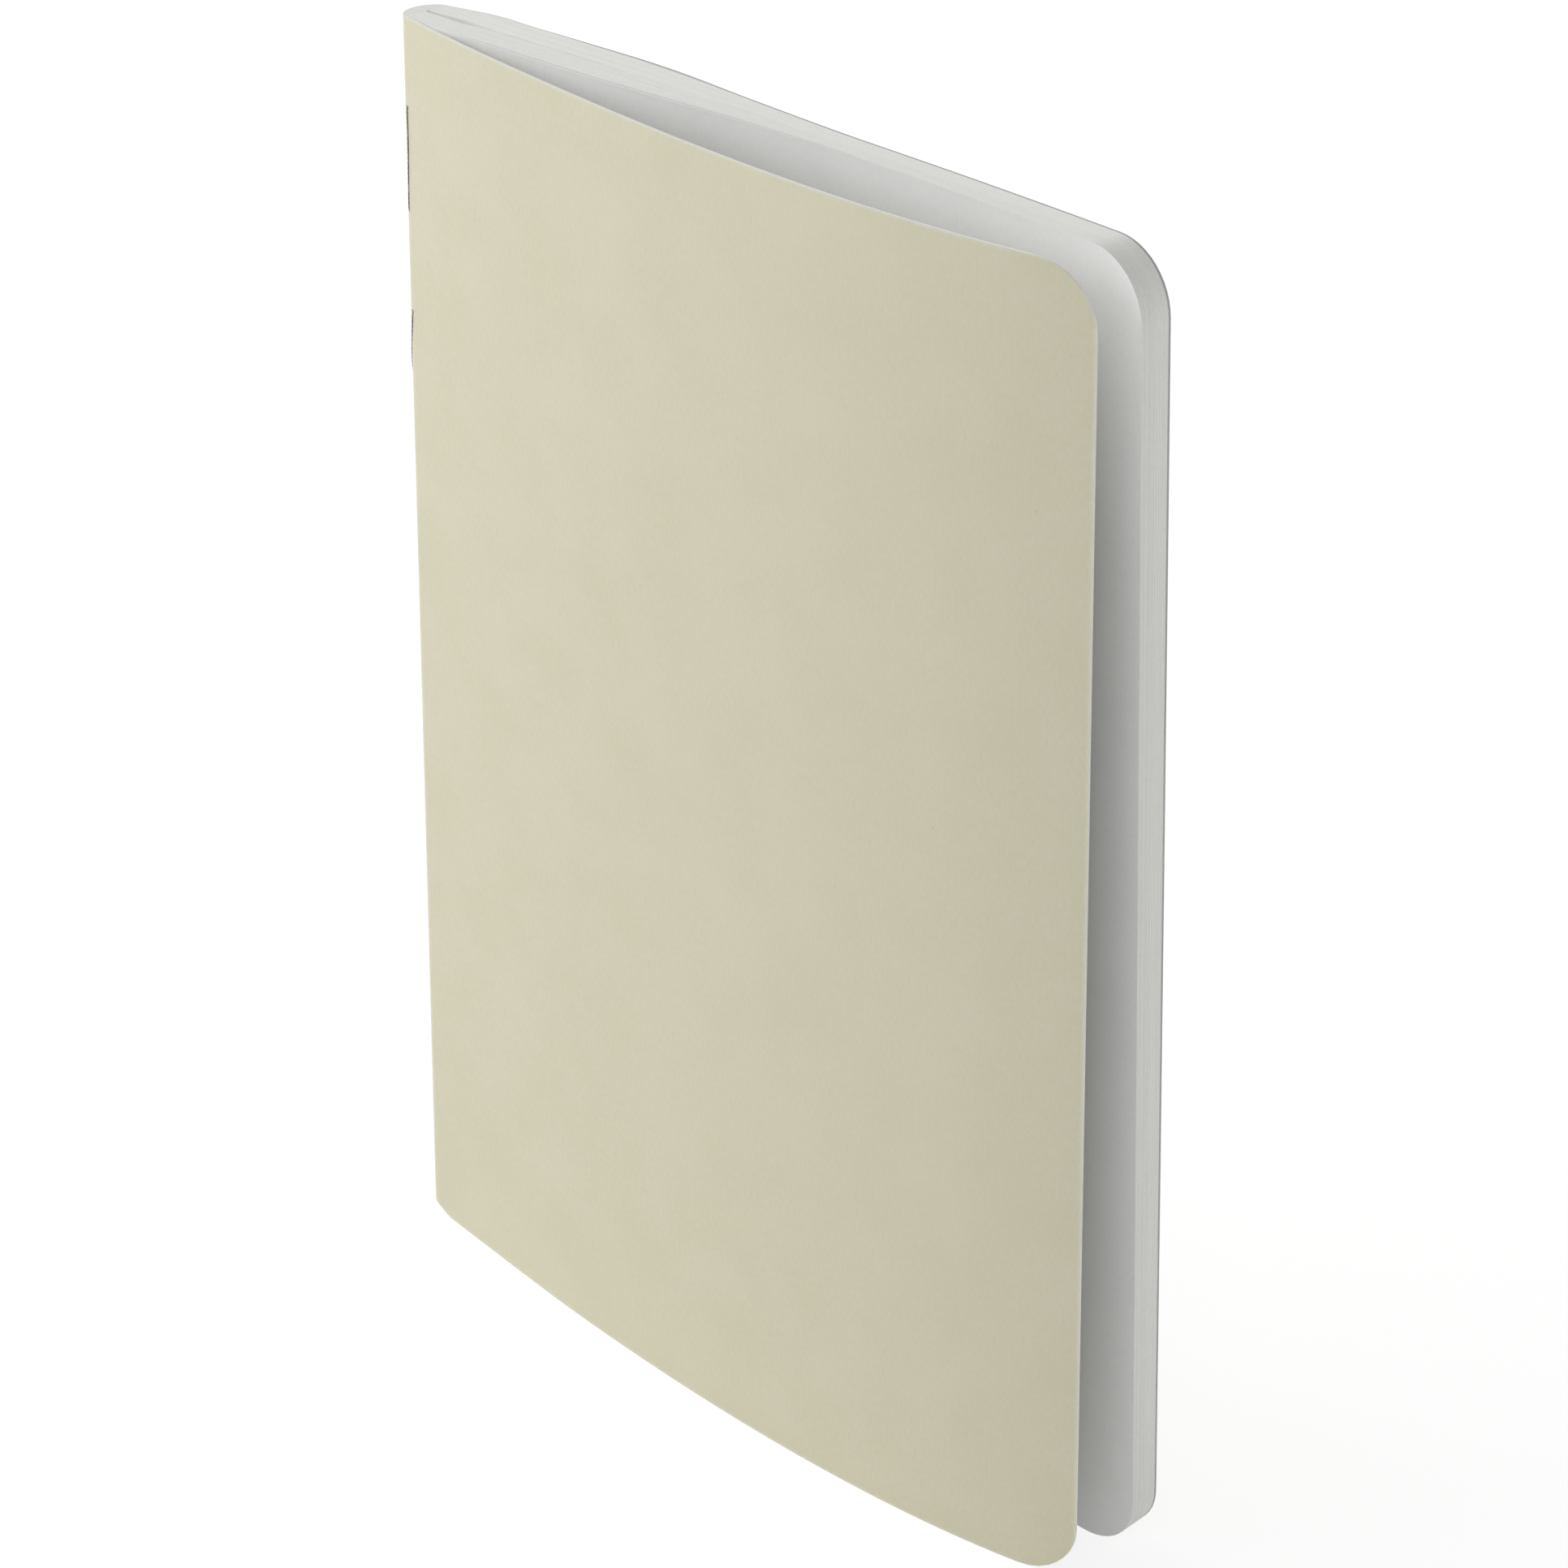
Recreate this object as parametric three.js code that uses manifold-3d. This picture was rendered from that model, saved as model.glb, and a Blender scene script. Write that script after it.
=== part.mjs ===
// A thin A5 softcover notebook. Folded sheets are nested inside a card cover
// and sewn through the fold. It stands on its tail edge with the block a
// little bowed and the front cover sprung open.
// X runs from the spine to the fore edge, Y from the front cover to the back
// cover and Z up the page. All sizes are in millimetres.

import * as THREE from 'three';
import { mergeVertices } from 'three/addons/utils/BufferGeometryUtils.js';
import Module from 'manifold-3d';

const wasm = await Module();
wasm.setup();

// Page and cover
const pageHeight = 210;
const foreReach = 147;            // middle of the fold to the trimmed fore edge
const cornerRadius = 9.5;
const leafThickness = 0.14;
const coverThickness = 0.35;
const sheetCount = 16;

// Air between the leaves
const apexAir = 0.015;            // nested folds, along the fold's axis
const foreAir = 0.025;            // flat part of the block
const swellAir = 0.155;           // added where the folds make the block swell
const coverClearance = 0.02;      // outer leaf to cover
const splitKerf = 0.02;           // between the two leaves of one sheet
const creaseKerf = 0.05;          // between the spine fold and the front cover

// Where the block swells, measured from the shoulder of the fold
const swellRise = new THREE.Vector2(-10, 15);
const swellFall = new THREE.Vector2(36, 90);

// Hollow inside the innermost fold
const hollowDepth = 0.5;
const hollowHalf = 0.75;
const hollowReach = 12;
const foldFacets = 5;

// Bow of the standing block, and the sprung front cover
const blockBow = 2.3;
const creaseReach = 3;
const coverForeGap = 8.3;         // first leaf to front cover at the fore edge
const coverDrawBack = 2.2;        // how far its curve draws its fore edge back
const coverLeave = new THREE.Vector2(83.7, -16.7);
const coverReturn = new THREE.Vector2(-17.4, -4.2);
const coverFacets = 12;

// Sewing
const holeCount = 12;
const stitchPitch = 16.5;
const holeHalf = 0.45;            // half the diagonal of a needle hole
const threadRadius = 0.2;
const threadClearance = 0.02;
const threadTail = 6;
const threadSides = 8;

// Shape detail
const cornerFacets = 6;
const overcut = 10;               // how far a cutting tool runs past the paper

const paperWhite = new THREE.MeshStandardMaterial({ color: 0xe4e5e1, roughness: 0.85 });
const coverCream = new THREE.MeshStandardMaterial({ color: 0xd3cfb6, roughness: 0.75 });
const threadGrey = new THREE.MeshStandardMaterial({ color: 0x55565a, roughness: 0.9 });

// A closed geometry as a solid for cutting and joining
function toSolid(geometry) {
  const bare = geometry.clone();
  bare.deleteAttribute('normal');
  bare.deleteAttribute('uv');
  const merged = mergeVertices(bare);
  const mesh = new wasm.Mesh({
    numProp: 3,
    vertProperties: new Float32Array(merged.attributes.position.array),
    triVerts: new Uint32Array(merged.index.array),
  });
  return new wasm.Manifold(mesh);
}

// A solid as a geometry again
function toGeometry(solid) {
  const mesh = solid.getMesh();
  const geometry = new THREE.BufferGeometry();
  geometry.setAttribute('position', new THREE.BufferAttribute(mesh.vertProperties, 3));
  geometry.setIndex(new THREE.BufferAttribute(mesh.triVerts, 1));
  geometry.computeVertexNormals();
  return geometry;
}

function joined(solids) {
  return solids.reduce((whole, solid) => whole.add(solid));
}

// How far the block has swelled at x, from 0 to 1
function swellAt(x) {
  const rise = THREE.MathUtils.smoothstep(x, swellRise.x, swellRise.y);
  const fall = THREE.MathUtils.smoothstep(x, swellFall.x, swellFall.y);
  return rise * (1 - fall);
}

// Half the gap between the middle lines of the two innermost leaves
const foreHalf = (leafThickness + foreAir) / 2;

function hollowAt(x) {
  const left = Math.max(0, 1 - x / hollowReach);
  return foreHalf + (hollowHalf - foreHalf) * left * left;
}

// Each layer's distance from the block's middle line, and how far its fold
// reaches. Layer 0 is the innermost sheet.
function layerOffset(x, layer) {
  return hollowAt(x) + layer * (leafThickness + foreAir + swellAir * swellAt(x));
}

function layerApex(layer) {
  return hollowDepth + layer * (leafThickness + apexAir);
}

// The cover is one more layer, outside the outermost sheet
const outerLayer = sheetCount - 1;
const coverStep = leafThickness / 2 + coverClearance + coverThickness / 2;

function coverOffset(x) {
  return layerOffset(x, outerLayer) + coverStep;
}

const coverApex = layerApex(outerLayer) + coverStep;

// Sideways bow of the whole block between its fold and its fore edge
function bowAt(x) {
  const share = x / foreReach;
  return 4 * blockBow * share * (1 - share);
}

// Places along the page where every layer has a corner
const swellSteps = [0, 1 / 3, 2 / 3, 1];
const stations = [
  0,
  creaseReach,
  hollowReach,
  2 * hollowReach,
  ...swellSteps.map((share) => THREE.MathUtils.lerp(swellFall.x, swellFall.y, share)),
  foreReach,
];

// Plan line of one leaf or cover, from the fold's apex round its shoulder and
// out past the fore edge. side is -1 for the front half and 1 for the back.
function foldedLine(side, apex, offsetAt, reaches) {
  const shoulder = offsetAt(0);
  const line = [];
  for (let i = 0; i < foldFacets; i++) {
    const turn = (i / foldFacets) * (Math.PI / 2);
    const y = i === 0 ? splitKerf / 2 : shoulder * Math.sin(turn);
    line.push(new THREE.Vector2(-apex * Math.cos(turn), side * y));
  }
  for (const x of reaches) {
    line.push(new THREE.Vector2(x, side * offsetAt(x) + bowAt(x)));
  }
  return line;
}

// Carries a line straight on past its end, for the trimming knife to cut
function runOn(line) {
  const end = line.at(-1);
  const run = end.clone().sub(line.at(-2)).setLength(overcut);
  return [...line, end.clone().add(run)];
}

function leftOf(from, to) {
  const along = to.clone().sub(from).normalize();
  return new THREE.Vector2(-along.y, along.x);
}

// A band of paper or card about a plan line, its corners mitred and its two
// end faces set by the given normals
function bandSolid(line, thickness, startNormal, endNormal) {
  const last = line.length - 1;
  const normals = line.map((point, i) => {
    if (i === 0) return startNormal;
    if (i === last) return endNormal;
    const before = leftOf(line[i - 1], point);
    const after = leftOf(point, line[i + 1]);
    const mitre = before.add(after).normalize();
    return mitre.divideScalar(mitre.dot(after));
  });
  const moved = (half) => line.map((point, i) => point.clone().addScaledVector(normals[i], half));
  const outline = [...moved(thickness / 2), ...moved(-thickness / 2).reverse()];
  const shape = new THREE.Shape(outline);
  return toSolid(new THREE.ExtrudeGeometry(shape, { depth: pageHeight, bevelEnabled: false }));
}

const squareAcross = new THREE.Vector2(0, 1);

function foldedBand(side, line, thickness) {
  return bandSolid(line, thickness, new THREE.Vector2(-side, 0), squareAcross);
}

// The trimming knife's outline: square at the spine, round at the fore edge,
// and deep enough for the block and its sprung cover
function trimSolid() {
  const spine = -coverApex - overcut;
  const centre = foreReach - cornerRadius;
  const knifeDepth = 2 * (coverOffset(foreReach) + coverForeGap - coverLeave.y + overcut);
  const outline = new THREE.Shape();
  outline.moveTo(spine, 0);
  outline.lineTo(centre, 0);
  outline.absarc(centre, cornerRadius, cornerRadius, -Math.PI / 2, 0, false);
  outline.lineTo(foreReach, pageHeight - cornerRadius);
  outline.absarc(centre, pageHeight - cornerRadius, cornerRadius, 0, Math.PI / 2, false);
  outline.lineTo(spine, pageHeight);
  const geometry = new THREE.ExtrudeGeometry(outline, {
    depth: knifeDepth,
    bevelEnabled: false,
    curveSegments: cornerFacets,
  });
  geometry.rotateX(Math.PI / 2);
  geometry.translate(0, knifeDepth / 2, 0);
  return toSolid(geometry);
}

const firstHole = (pageHeight - (holeCount - 1) * stitchPitch) / 2;
const holeHeights = Array.from({ length: holeCount }, (_, i) => firstHole + i * stitchPitch);

// Diamond needle holes through the fold of every sheet and the cover
function needleHoles() {
  const width = holeHalf * Math.SQRT2;
  const length = coverApex + overcut;
  const bars = holeHeights.map((z) => {
    const bar = new THREE.BoxGeometry(length, width, width);
    bar.rotateX(Math.PI / 4);
    bar.translate(-length / 2, 0, z);
    return toSolid(bar);
  });
  return joined(bars);
}

const trim = trimSolid();
const holes = needleHoles();

function finished(band) {
  return toGeometry(band.intersect(trim).subtract(holes));
}

// The front cover's corners are the same, on an edge drawn back by its curve
function finishedCover(band) {
  return toGeometry(band.intersect(trim.translate([-coverDrawBack, 0, 0])));
}

function part(name, geometry, material) {
  const mesh = new THREE.Mesh(geometry, material);
  mesh.name = name;
  return mesh;
}

// One leaf: half of a folded sheet
function leafGeometry(side, layer) {
  const offsetAt = (x) => layerOffset(x, layer);
  const line = runOn(foldedLine(side, layerApex(layer), offsetAt, stations));
  return finished(foldedBand(side, line, leafThickness));
}

function leafName(number) {
  return `leaf_${String(number).padStart(2, '0')}`;
}

function textBlock() {
  const block = new THREE.Group();
  for (let layer = outerLayer; layer >= 0; layer--) {
    const front = leafName(sheetCount - layer);
    const rear = leafName(sheetCount + 1 + layer);
    block.add(part(front, leafGeometry(-1, layer), paperWhite));
    block.add(part(rear, leafGeometry(1, layer), paperWhite));
  }
  return block;
}

// The back cover and its half of the spine fold are one piece of card
function backCover() {
  const line = runOn(foldedLine(1, coverApex, coverOffset, stations));
  return part('back_cover', finished(foldedBand(1, line, coverThickness)), coverCream);
}

// The front half of the spine fold, as far as the crease
function coverSpineFront() {
  const line = foldedLine(-1, coverApex, coverOffset, [0, creaseReach - creaseKerf / 2]);
  return part('cover_spine_front', finished(foldedBand(-1, line, coverThickness)), coverCream);
}

// The front cover springs from the crease in one long curve
function frontCover() {
  const start = creaseReach + creaseKerf / 2;
  const crease = new THREE.Vector2(start, bowAt(creaseReach) - coverOffset(creaseReach));
  const fore = new THREE.Vector2(
    foreReach - coverDrawBack,
    -coverOffset(foreReach) - coverForeGap,
  );
  const leave = crease.clone().add(coverLeave);
  const arrive = fore.clone().add(coverReturn);
  const curve = new THREE.CubicBezierCurve(crease, leave, arrive, fore);
  const line = runOn(curve.getPoints(coverFacets));
  const band = bandSolid(line, coverThickness, squareAcross, squareAcross);
  return part('front_cover', finishedCover(band), coverCream);
}

// A straight run of thread between two points, with its ends run on by the
// thread's radius so that runs join at the corners
function threadRun(from, to) {
  const along = to.clone().sub(from);
  const length = along.length() + 2 * threadRadius;
  const run = new THREE.CylinderGeometry(threadRadius, threadRadius, length, threadSides);
  const turn = new THREE.Quaternion();
  turn.setFromUnitVectors(new THREE.Vector3(0, 1, 0), along.normalize());
  run.applyQuaternion(turn);
  const middle = from.clone().add(to).divideScalar(2);
  run.translate(middle.x, middle.y, middle.z);
  return toSolid(run);
}

// The thread passes through each hole, and runs outside the spine and inside
// the middle fold by turns
function sewingThread() {
  const outside = -(coverApex + coverThickness / 2 + threadClearance + threadRadius);
  const inside = -(hollowDepth - leafThickness / 2 - threadClearance - threadRadius);
  const runs = [];
  holeHeights.forEach((z, i) => {
    runs.push(threadRun(new THREE.Vector3(outside, 0, z), new THREE.Vector3(inside, 0, z)));
    const next = holeHeights[i + 1];
    if (next === undefined) return;
    const x = i % 2 === 0 ? outside : inside;
    runs.push(threadRun(new THREE.Vector3(x, 0, z), new THREE.Vector3(x, 0, next)));
  });
  for (const [hole, tail] of [[0, threadTail], [holeCount - 1, -threadTail]]) {
    const from = new THREE.Vector3(inside, 0, holeHeights[hole]);
    runs.push(threadRun(from, from.clone().setZ(from.z + tail)));
  }
  return part('sewing_thread', toGeometry(joined(runs)), threadGrey);
}

const cover = new THREE.Group();
cover.add(frontCover(), coverSpineFront(), backCover());

const notebook = new THREE.Group();
notebook.add(cover, textBlock(), sewingThread());

// The origin is the middle of the notebook's footprint
const middle = new THREE.Box3().setFromObject(notebook).getCenter(new THREE.Vector3());
notebook.position.set(-middle.x, -middle.y, 0);

export default notebook;
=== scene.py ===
# %% [markdown]
# # A sewn softcover notebook
#
# The real object is sixteen folded sheets of paper inside one folded sheet of card,
# held by a single thread through the fold. It stands on its tail edges, and the
# front cover has sprung a little open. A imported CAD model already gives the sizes
# and the hinges. This scene adds what plain solids lack: the bend and the slight
# twist of a paper block, the stitches, and the finish of card and paper.

# %% Load the frame
import math
import random

import bpy
from mathutils import Matrix, Vector


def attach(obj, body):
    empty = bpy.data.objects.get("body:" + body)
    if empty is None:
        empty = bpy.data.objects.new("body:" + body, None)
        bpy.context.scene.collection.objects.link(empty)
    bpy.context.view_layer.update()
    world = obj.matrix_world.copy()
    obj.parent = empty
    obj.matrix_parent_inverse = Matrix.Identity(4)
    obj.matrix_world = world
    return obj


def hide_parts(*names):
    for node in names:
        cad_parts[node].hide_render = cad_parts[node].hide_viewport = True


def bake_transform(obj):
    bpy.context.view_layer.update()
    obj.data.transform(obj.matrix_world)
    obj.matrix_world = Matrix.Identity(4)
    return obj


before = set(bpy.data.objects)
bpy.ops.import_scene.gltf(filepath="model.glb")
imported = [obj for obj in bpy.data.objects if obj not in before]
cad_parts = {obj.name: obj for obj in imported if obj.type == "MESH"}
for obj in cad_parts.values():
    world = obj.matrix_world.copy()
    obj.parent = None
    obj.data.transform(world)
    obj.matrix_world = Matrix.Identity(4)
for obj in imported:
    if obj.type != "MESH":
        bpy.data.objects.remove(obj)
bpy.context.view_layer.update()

# %% [markdown]
# ## Sizes
#
# Everything is worked out in millimetres in the notebook's own plan: X runs from the
# middle of the fold to the fore edge, Y from the front cover to the back, Z from tail
# to head. One last step turns millimetres into metres and moves the result onto the
# CAD model. Keeping one set of sizes at the top makes each piece follow the others.

# %% Sizes of the block and its cover, in millimetres
MM = 0.001  # one millimetre in metres
PAGE_HEIGHT = 210.0
FORE_REACH = 147.0
CORNER_RADIUS = 9.5
SHEET_COUNT = 16
LEAF_THICKNESS = 0.14
CARD_THICKNESS = 0.35
LEAF_PITCH = 0.165
# Extra room between leaves behind the fold, and where along X it comes and goes.
SWELL_AIR = 0.155
SWELL_RISE, SWELL_FALL = (-10.0, 15.0), (36.0, 90.0)
# Half the gap between the innermost leaves, at the fold and far from it.
HOLLOW_NEAR, HOLLOW_FAR = 0.4, 0.0825
MOUTH_WIDENING, MOUTH_CLOSES = 0.15, (7.0, 15.0)
SPLIT_SHARE, SPLIT_OPENS, SPLIT_CLOSES = 0.6, (2.0, 15.0), (30.0, 68.0)
BLOCK_BOW = 2.3
# How far each fold reaches behind its shoulders: the card, the first sheet, each next one.
CARD_APEX, FIRST_APEX, APEX_PITCH = 3.09, 0.5, 0.155
CARD_CLEARANCE = 0.265
LEAVING_SLOPE = -0.2
# How far the spine leans at head and tail, and how its tail lifts.
HEAD_SKEW, TAIL_SKEW = 0.62, -1.15
TAIL_RISE, TAIL_RISE_DEPTH, TAIL_RISE_HEIGHT = 1.3, (-2.5, 3.5), 30.0
BLOCK_TWIST, COVER_TWIST = math.radians(-2.0), math.radians(-1.1)
# Where the middle of the fold stands in the frame of the CAD model.
FOLD_CENTRE = (-71.6575, 4.33654)
block_thickness = 2 * (HOLLOW_FAR + (SHEET_COUNT - 0.5) * LEAF_PITCH)
print("block thickness at the fore edge:", block_thickness, "mm")

# %% [markdown]
# ## The camera
#
# A notebook has straight edges of known length, so the camera can be worked back from
# where its corners fall in the picture. It stands at the fore edge side, looks down by
# 26.6 degrees, and needs no lens shift.

# %% Camera
FOCAL_LENGTH, SENSOR_WIDTH = 105.72, 36.0
CAMERA_SPOT = (0.43253, -0.44145, 0.41619)
AZIMUTH, ELEVATION, ROLL = (math.radians(angle) for angle in (43.882, 26.600, -0.293))
camera_data = bpy.data.cameras.new("studio_camera")
camera_data.sensor_fit = "HORIZONTAL"
camera_data.sensor_width = SENSOR_WIDTH
camera_data.lens = FOCAL_LENGTH
camera_data.clip_start, camera_data.clip_end = 0.05, 50.0
camera = bpy.data.objects.new("studio_camera", camera_data)
bpy.context.collection.objects.link(camera)
look = Vector((-math.sin(AZIMUTH) * math.cos(ELEVATION),
               math.cos(AZIMUTH) * math.cos(ELEVATION),
               -math.sin(ELEVATION)))
level = Vector((math.cos(AZIMUTH), math.sin(AZIMUTH), 0.0))
down = look.cross(level)
image_right = math.cos(ROLL) * level + math.sin(ROLL) * down
image_down = math.cos(ROLL) * down - math.sin(ROLL) * level
turned = Matrix((image_right, -image_down, -look)).transposed().to_4x4()
camera.matrix_world = Matrix.Translation(CAMERA_SPOT) @ turned
bpy.context.scene.camera = camera
print("camera at", tuple(round(c, 4) for c in camera.location))

# %% [markdown]
# ## Arithmetic inside a node tree
#
# The leaves follow a rule, so Geometry Nodes can make all of them from one tree. A rule
# with forty steps is hard to read as forty Math nodes. The small class below stands for
# one number in a tree: adding or multiplying it adds the Math node and its wires, so a
# formula in Python reads as a formula and still becomes plain nodes.

# %% Numbers that build Math nodes


def feed(tree, value, entry):
    """Gives a socket its value: a wire from another node, or a plain number."""
    value = getattr(value, "socket", value)
    if isinstance(value, bpy.types.NodeSocket):
        tree.links.new(value, entry)
    else:
        entry.default_value = value


class Number:
    """A number that flows through a node tree."""

    def __init__(self, tree, socket):
        self.tree, self.socket = tree, socket

    def calc(self, operation, *others):
        node = self.tree.nodes.new("ShaderNodeMath")
        node.operation = operation
        for value, entry in zip((self, *others), node.inputs):
            feed(self.tree, value, entry)
        return Number(self.tree, node.outputs[0])

    def __add__(self, other):
        return self.calc("ADD", other)

    def __sub__(self, other):
        return self.calc("SUBTRACT", other)

    def __rsub__(self, other):
        return self.calc("MULTIPLY", -1.0).calc("ADD", other)

    def __mul__(self, other):
        return self.calc("MULTIPLY", other)

    def __truediv__(self, other):
        return self.calc("DIVIDE", other)

    def sin(self):
        return self.calc("SINE")

    def cos(self):
        return self.calc("COSINE")

    def at_least(self, low):
        return self.calc("MAXIMUM", low)

    def at_most(self, high):
        return self.calc("MINIMUM", high)

    def smooth(self, low, high):
        """0 below low, 1 above high, and an S curve between."""
        node = self.tree.nodes.new("ShaderNodeMapRange")
        node.interpolation_type = "SMOOTHSTEP"
        feed(self.tree, self, node.inputs["Value"])
        feed(self.tree, low, node.inputs["From Min"])
        feed(self.tree, high, node.inputs["From Max"])
        return Number(self.tree, node.outputs["Result"])


# %% [markdown]
# ## The rule of the block
#
# Seen from above, leaves stay almost parallel. Three things bend them: a narrow mouth
# in the middle of the fold that closes to a fine split, a swelling behind the fold
# where folded paper springs apart, and one shallow bow that the whole block shares.
# Each function takes a number of a node tree and adds the nodes for its formula.

# %% How far a layer lies from the middle, and how the block bows


def hollow(x):
    """Half the gap between the two innermost leaves: a mouth, then a split that fades."""
    mouth = (x * MOUTH_WIDENING + 1) * (1 - x.smooth(*MOUTH_CLOSES))
    split = x.smooth(*SPLIT_OPENS) * (1 - x.smooth(*SPLIT_CLOSES)) * SPLIT_SHARE
    return (mouth + split) * (HOLLOW_NEAR - HOLLOW_FAR) + HOLLOW_FAR


def spread(x, layer):
    """Distance of a layer's middle from the middle of the block, at x along the leaf."""
    swell = x.smooth(*SWELL_RISE) * (1 - x.smooth(*SWELL_FALL))
    return hollow(x) + (swell * SWELL_AIR + LEAF_PITCH) * layer


def bow(x):
    """Sideways bow of the block, nothing at the fold and at the fore edge."""
    share = x / FORE_REACH
    return share * (1 - share) * (4 * BLOCK_BOW)


BOW_SLOPE = 4 * BLOCK_BOW / FORE_REACH
# The S curve of the swelling at x = 0, where every fold begins.
risen = SWELL_RISE[0] / (SWELL_RISE[0] - SWELL_RISE[1])
SHOULDER_SWELL = risen * risen * (3 - 2 * risen) * SWELL_AIR


def shoulder(layer):
    """Distance of a layer from the middle where its fold begins."""
    return HOLLOW_NEAR + layer * (LEAF_PITCH + SHOULDER_SWELL)


card_half = shoulder(SHEET_COUNT - 1) + CARD_CLEARANCE
leaving_turn = math.atan(card_half / CARD_APEX / (BOW_SLOPE - LEAVING_SLOPE))
print("half the width of the cover's fold:", round(card_half, 3), "mm")
print("it ends its round at", round(math.degrees(leaving_turn), 1), "degrees")

# %% [markdown]
# ## A closed slab to bend
#
# A leaf or a cover is a thin closed solid. A Mesh Cube node with many vertices along
# two sides and two along the third is such a solid already. Its unit coordinates say
# how far along, how far up and how far through the sheet each point is, and one Set
# Position node maps them to the real place. The way each face looked before the
# bending is captured, because it tells the cut edges from the two faces.

# %% Helpers for the geometry trees
SHARP_ANGLE = 0.5   # an edge that bends by more radians than this is a rim
FACING_LIMIT = 0.5  # a face of the unit slab looks fully up or down, or not at all
FLAT_SCALE = 0.01   # one unit of the UV map is 100 millimetres


def new_tree(name, **sizes):
    """A geometry tree with one output and named inputs."""
    tree = bpy.data.node_groups.new(name, "GeometryNodeTree")
    tree.interface.new_socket("Geometry", in_out="OUTPUT", socket_type="NodeSocketGeometry")
    for label, value in sizes.items():
        kind = "NodeSocketMaterial" if value is None else "NodeSocketFloat"
        entry = tree.interface.new_socket(label, in_out="INPUT", socket_type=kind)
        if value is not None:
            entry.default_value = value
    entries = tree.nodes.new("NodeGroupInput").outputs
    wrap = {label: Number(tree, entries[label]) for label in sizes}
    return tree, wrap


def add(tree, kind, settings=(), **values):
    """A node with its settings made and its named inputs fed."""
    node = tree.nodes.new(kind)
    for label, value in dict(settings).items():
        setattr(node, label, value)
    for label, value in values.items():
        feed(tree, value, node.inputs[label.replace("_", " ")])
    return node


def own_place(tree):
    """The three coordinates of each point."""
    position = add(tree, "GeometryNodeInputPosition").outputs[0]
    apart = add(tree, "ShaderNodeSeparateXYZ", Vector=position)
    return tuple(Number(tree, out) for out in apart.outputs)


def move_to(tree, geometry, x, y, z):
    """Puts each point at a new place."""
    point = add(tree, "ShaderNodeCombineXYZ", X=x, Y=y, Z=z)
    moved = add(tree, "GeometryNodeSetPosition", Geometry=geometry, Position=point.outputs[0])
    return moved.outputs[0]


def store(tree, geometry, name, value, kind="FLOAT", domain="POINT"):
    """Keeps a value on the geometry under a name."""
    kept = add(tree, "GeometryNodeStoreNamedAttribute", {"data_type": kind, "domain": domain},
               Geometry=geometry, Name=name, Value=value)
    return kept.outputs[0]


def slab(tree, columns, rows):
    """A closed unit slab: its mesh, how far along, up and through each point is, and
    which way each face looks before the bending."""
    cube = add(tree, "GeometryNodeMeshCube")
    cube.inputs["Vertices X"].default_value = columns + 1
    cube.inputs["Vertices Y"].default_value = rows + 1
    angle = add(tree, "GeometryNodeInputMeshEdgeAngle").outputs["Unsigned Angle"]
    rims = Number(tree, angle).calc("GREATER_THAN", SHARP_ANGLE)
    sharp = store(tree, cube.outputs["Mesh"], "sharp_edge", rims, "BOOLEAN", "EDGE")
    smooth = add(tree, "GeometryNodeSetShadeSmooth", Geometry=sharp)
    facing = add(tree, "ShaderNodeSeparateXYZ",
                 Vector=add(tree, "GeometryNodeInputNormal").outputs["Normal"])
    kept = tree.nodes.new("GeometryNodeCaptureAttribute")
    kept.domain = "FACE"
    kept.capture_items.new("FLOAT", "Facing")
    tree.links.new(smooth.outputs[0], kept.inputs["Geometry"])
    tree.links.new(facing.outputs["Z"], kept.inputs["Facing"])
    along, up, through = (place + 0.5 for place in own_place(tree))
    return kept.outputs["Geometry"], along, up, through, Number(tree, kept.outputs["Facing"])


def label_sheet(tree, mesh, across, height, rim):
    """Keeps the flat place of each point as a UV map and its distance from the rim."""
    flat = add(tree, "ShaderNodeCombineXYZ", X=across * FLAT_SCALE, Y=height * FLAT_SCALE)
    mesh = store(tree, mesh, "flat", flat.outputs[0], "FLOAT2", "CORNER")
    return store(tree, mesh, "rim_distance", rim)


def settle(tree, mesh, x, y, z, twist):
    """Leans the spine, lifts its tail a touch, twists each level and goes to metres."""
    drawn_in = (1 - x.smooth(*TAIL_RISE_DEPTH)) * (1 - z / TAIL_RISE_HEIGHT).at_least(0.0)
    z = z + drawn_in * TAIL_RISE
    skew = z * ((HEAD_SKEW - TAIL_SKEW) / PAGE_HEIGHT) + TAIL_SKEW
    x = x + skew * (1 - x / FORE_REACH)
    turn = (z - PAGE_HEIGHT / 2) * twist / (PAGE_HEIGHT / 2)
    east = x * turn.cos() - y * turn.sin() + FOLD_CENTRE[0]
    north = x * turn.sin() + y * turn.cos() + FOLD_CENTRE[1]
    return move_to(tree, mesh, east * MM, north * MM, z * MM)


def dress(tree, mesh, finishes):
    """Ends a tree: real geometry, then a material for each set of faces."""
    mesh = add(tree, "GeometryNodeRealizeInstances", Geometry=mesh).outputs[0]
    for material, chosen in finishes:
        node = add(tree, "GeometryNodeSetMaterial", Geometry=mesh, Material=material)
        if chosen is not None:
            feed(tree, chosen, node.inputs["Selection"])
        mesh = node.outputs[0]
    out = tree.nodes.new("NodeGroupOutput")
    tree.links.new(mesh, out.inputs[0])


def dress_sheet(tree, mesh, facing, first_face, second_face, cut_edge):
    """Ends the tree of a sheet: a cut edge all round, and a finish for each face."""
    dress(tree, mesh, (
        (cut_edge, None),
        (first_face, facing.calc("GREATER_THAN", FACING_LIMIT)),
        (second_face, facing.calc("LESS_THAN", -FACING_LIMIT))))


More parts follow.
